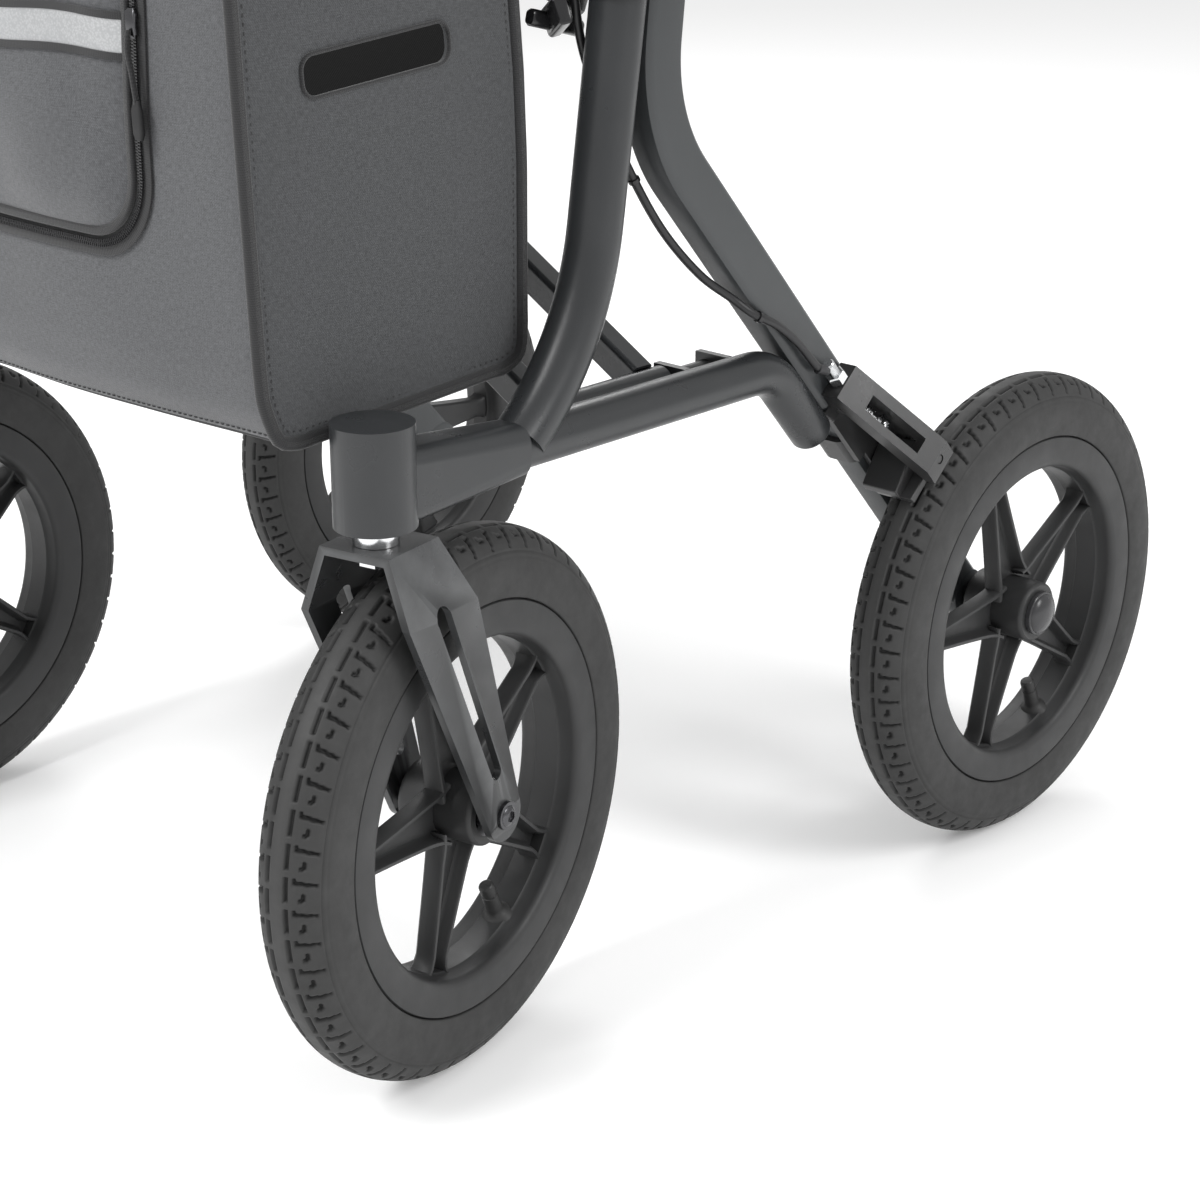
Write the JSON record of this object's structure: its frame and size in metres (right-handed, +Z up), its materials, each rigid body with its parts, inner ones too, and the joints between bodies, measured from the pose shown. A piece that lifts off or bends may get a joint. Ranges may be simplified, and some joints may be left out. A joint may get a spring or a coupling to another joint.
{
  "type": "four-wheeled rollator",
  "caption": "Outdoor rollator with swivelling front casters, sideways cross-brace fold, seat, front shopping bag and cable brakes.",
  "frame": {"origin": "middle of the overall box, on the floor", "axes": "+X towards the object's left side as seen from in front of it, -Y the way it is pushed, +Z up"},
  "size_m": [0.656, 0.7707, 0.9343],
  "materials": {
    "frame_paint": "satin anthracite powder coat",
    "leg_paint": "satin anthracite anodised extrusion",
    "fork_paint": "satin dark grey coat with bright machined edges",
    "handle_paint": "satin grey anodised tube",
    "black_metal": "black die cast and coated steel",
    "bright_steel": "bright plated hardware",
    "dark_steel": "black zinc plated bolts and axles",
    "black_plastic": "moulded black nylon",
    "cap_plastic": "glossy black hub cap",
    "rim_plastic": "matte dark grey glass-filled nylon",
    "tyre_rubber": "dark grey tyre rubber",
    "inner_rubber": "butyl inner tube",
    "grip_rubber": "moulded grip rubber",
    "cable_jacket": "black cable jacket",
    "seat_fabric": "black padded polyester",
    "bag_fabric": "grey twill polyester with black binding"
  },
  "bodies": {
    "frame_left": {"head_lug_left": "frame_paint", "lower_tube_left": "frame_paint", "front_upright_left": "frame_paint", "rear_leg_left": "leg_paint", "frame_clamp_left": "black_plastic", "brace_mount_left": "black_metal", "rear_axle_left": "dark_steel", "brake_housing_left": "black_metal", "brake_fittings_left": "bright_steel", "brake_cable_left": "cable_jacket", "shopping_bag": "bag_fabric", "back_strap": "seat_fabric"},
    "link_a": {"cross_link_a": "frame_paint"},
    "link_b": {"cross_link_b": "frame_paint", "centre_bolts": "bright_steel"},
    "frame_right": {"head_lug_right": "frame_paint", "lower_tube_right": "frame_paint", "front_upright_right": "frame_paint", "rear_leg_right": "leg_paint", "frame_clamp_right": "black_plastic", "brace_mount_right": "black_metal", "rear_axle_right": "dark_steel", "brake_housing_right": "black_metal", "brake_fittings_right": "bright_steel", "brake_cable_right": "cable_jacket"},
    "rail_left": {"seat_rail_left": "black_metal", "seat_sling": "seat_fabric"},
    "rail_right": {"seat_rail_right": "black_metal"},
    "caster_left": {"fork_left": "fork_paint", "caster_stem_left": "black_metal", "front_axle_left": "dark_steel"},
    "front_wheel_left": {"front_rim_left": "rim_plastic", "front_tyre_left": "tyre_rubber", "front_inner_tube_left": "inner_rubber"},
    "rear_wheel_left": {"rear_rim_left": "rim_plastic", "rear_tyre_left": "tyre_rubber", "rear_inner_tube_left": "inner_rubber", "hub_cap_left": "cap_plastic"},
    "brake_arm_left": {"brake_arm_left": "black_metal"},
    "handle_left": {"handle_tube_left": "handle_paint", "hand_grip_left": "grip_rubber", "lever_mount_left": "black_plastic"},
    "lever_left": {"brake_lever_left": "black_metal"},
    "knob_left": {"height_knob_left": "black_plastic"},
    "caster_right": {"fork_right": "fork_paint", "caster_stem_right": "black_metal", "front_axle_right": "dark_steel"},
    "front_wheel_right": {"front_rim_right": "rim_plastic", "front_tyre_right": "tyre_rubber", "front_inner_tube_right": "inner_rubber"},
    "rear_wheel_right": {"rear_rim_right": "rim_plastic", "rear_tyre_right": "tyre_rubber", "rear_inner_tube_right": "inner_rubber", "hub_cap_right": "cap_plastic"},
    "brake_arm_right": {"brake_arm_right": "black_metal"},
    "handle_right": {"handle_tube_right": "handle_paint", "hand_grip_right": "grip_rubber", "lever_mount_right": "black_plastic"},
    "lever_right": {"brake_lever_right": "black_metal"},
    "knob_right": {"height_knob_right": "black_plastic"}
  },
  "joints": [
    {"name": "fold", "type": "hinge", "parent": "frame_left", "child": "link_a", "pos_m": [0.236, -0.1, 0.352], "axis": [0, 1, 0], "range_deg": [0, 45], "deforming": ["seat_sling", "shopping_bag", "back_strap"]},
    {"name": "cross_pivot", "type": "hinge", "parent": "link_a", "child": "link_b", "pos_m": [0, -0.1, 0.48825], "axis": [0, 1, 0], "range_deg": [-90, 0]},
    {"name": "right_frame_pivot", "type": "hinge", "parent": "link_b", "child": "frame_right", "pos_m": [-0.236, -0.1, 0.352], "axis": [0, 1, 0], "range_deg": [0, 45]},
    {"name": "right_rail_pivot", "type": "hinge", "parent": "link_a", "child": "rail_right", "pos_m": [-0.225, -0.1, 0.61816], "axis": [0, 1, 0], "range_deg": [-45, 0]},
    {"name": "left_rail_pivot", "type": "hinge", "parent": "link_b", "child": "rail_left", "pos_m": [0.225, -0.1, 0.61816], "axis": [0, 1, 0], "range_deg": [0, 45], "deforming": ["seat_sling"]},
    {"name": "caster_swivel_left", "type": "hinge", "parent": "frame_left", "child": "caster_left", "pos_m": [0.26, -0.2924, 0.352], "axis": [0, 0, 1], "continuous": true},
    {"name": "front_spin_left", "type": "hinge", "parent": "caster_left", "child": "front_wheel_left", "pos_m": [0.24785, -0.2316, 0.155], "axis": [0.9806, 0.1959, 0], "continuous": true},
    {"name": "rear_spin_left", "type": "hinge", "parent": "frame_left", "child": "rear_wheel_left", "pos_m": [0.295, 0.2304, 0.155], "axis": [1, 0, 0], "continuous": true},
    {"name": "handle_slide_left", "type": "slide", "parent": "frame_left", "child": "handle_left", "axis": [0, 0.1495, 0.9888], "range_m": [-0.12, 0], "deforming": ["brake_cable_left"]},
    {"name": "brake_lever_left", "type": "hinge", "parent": "handle_left", "child": "lever_left", "pos_m": [0.26, -0.0149, 0.88048], "axis": [1, 0, 0], "range_deg": [0, 12], "stiffness_Nm_per_rad": 1, "deforming": ["brake_cable_left"]},
    {"name": "brake_shoe_left", "type": "hinge", "parent": "frame_left", "child": "brake_arm_left", "pos_m": [0.29, 0.11859, 0.28417], "axis": [1, 0, 0], "range_deg": [0, 10.5]},
    {"name": "height_knob_left", "type": "hinge", "parent": "frame_left", "child": "knob_left", "pos_m": [0.291, -0.09454, 0.698], "axis": [1, 0, 0], "continuous": true},
    {"name": "caster_swivel_right", "type": "hinge", "parent": "frame_right", "child": "caster_right", "pos_m": [-0.26, -0.2924, 0.352], "axis": [0, 0, 1], "continuous": true},
    {"name": "front_spin_right", "type": "hinge", "parent": "caster_right", "child": "front_wheel_right", "pos_m": [-0.26378, -0.23052, 0.155], "axis": [0.9981, 0.061, 0], "continuous": true},
    {"name": "rear_spin_right", "type": "hinge", "parent": "frame_right", "child": "rear_wheel_right", "pos_m": [-0.295, 0.2304, 0.155], "axis": [1, 0, 0], "continuous": true},
    {"name": "handle_slide_right", "type": "slide", "parent": "frame_right", "child": "handle_right", "axis": [0, 0.1495, 0.9888], "range_m": [-0.12, 0], "deforming": ["brake_cable_right"]},
    {"name": "brake_lever_right", "type": "hinge", "parent": "handle_right", "child": "lever_right", "pos_m": [-0.26, -0.0149, 0.88048], "axis": [1, 0, 0], "range_deg": [0, 12], "stiffness_Nm_per_rad": 1, "deforming": ["brake_cable_right"]},
    {"name": "brake_shoe_right", "type": "hinge", "parent": "frame_right", "child": "brake_arm_right", "pos_m": [-0.29, 0.11859, 0.28417], "axis": [1, 0, 0], "range_deg": [0, 10.5]},
    {"name": "height_knob_right", "type": "hinge", "parent": "frame_right", "child": "knob_right", "pos_m": [-0.291, -0.09454, 0.698], "axis": [1, 0, 0], "continuous": true}
  ],
  "couplings": [
    {"joint": "cross_pivot", "follows": "fold", "ratio": -2},
    {"joint": "right_frame_pivot", "follows": "fold", "ratio": 1},
    {"joint": "right_rail_pivot", "follows": "fold", "ratio": -1},
    {"joint": "left_rail_pivot", "follows": "fold", "ratio": 1},
    {"joint": "brake_shoe_left", "follows": "brake_lever_left", "ratio": 0.85},
    {"joint": "brake_shoe_right", "follows": "brake_lever_right", "ratio": 0.85}
  ]
}
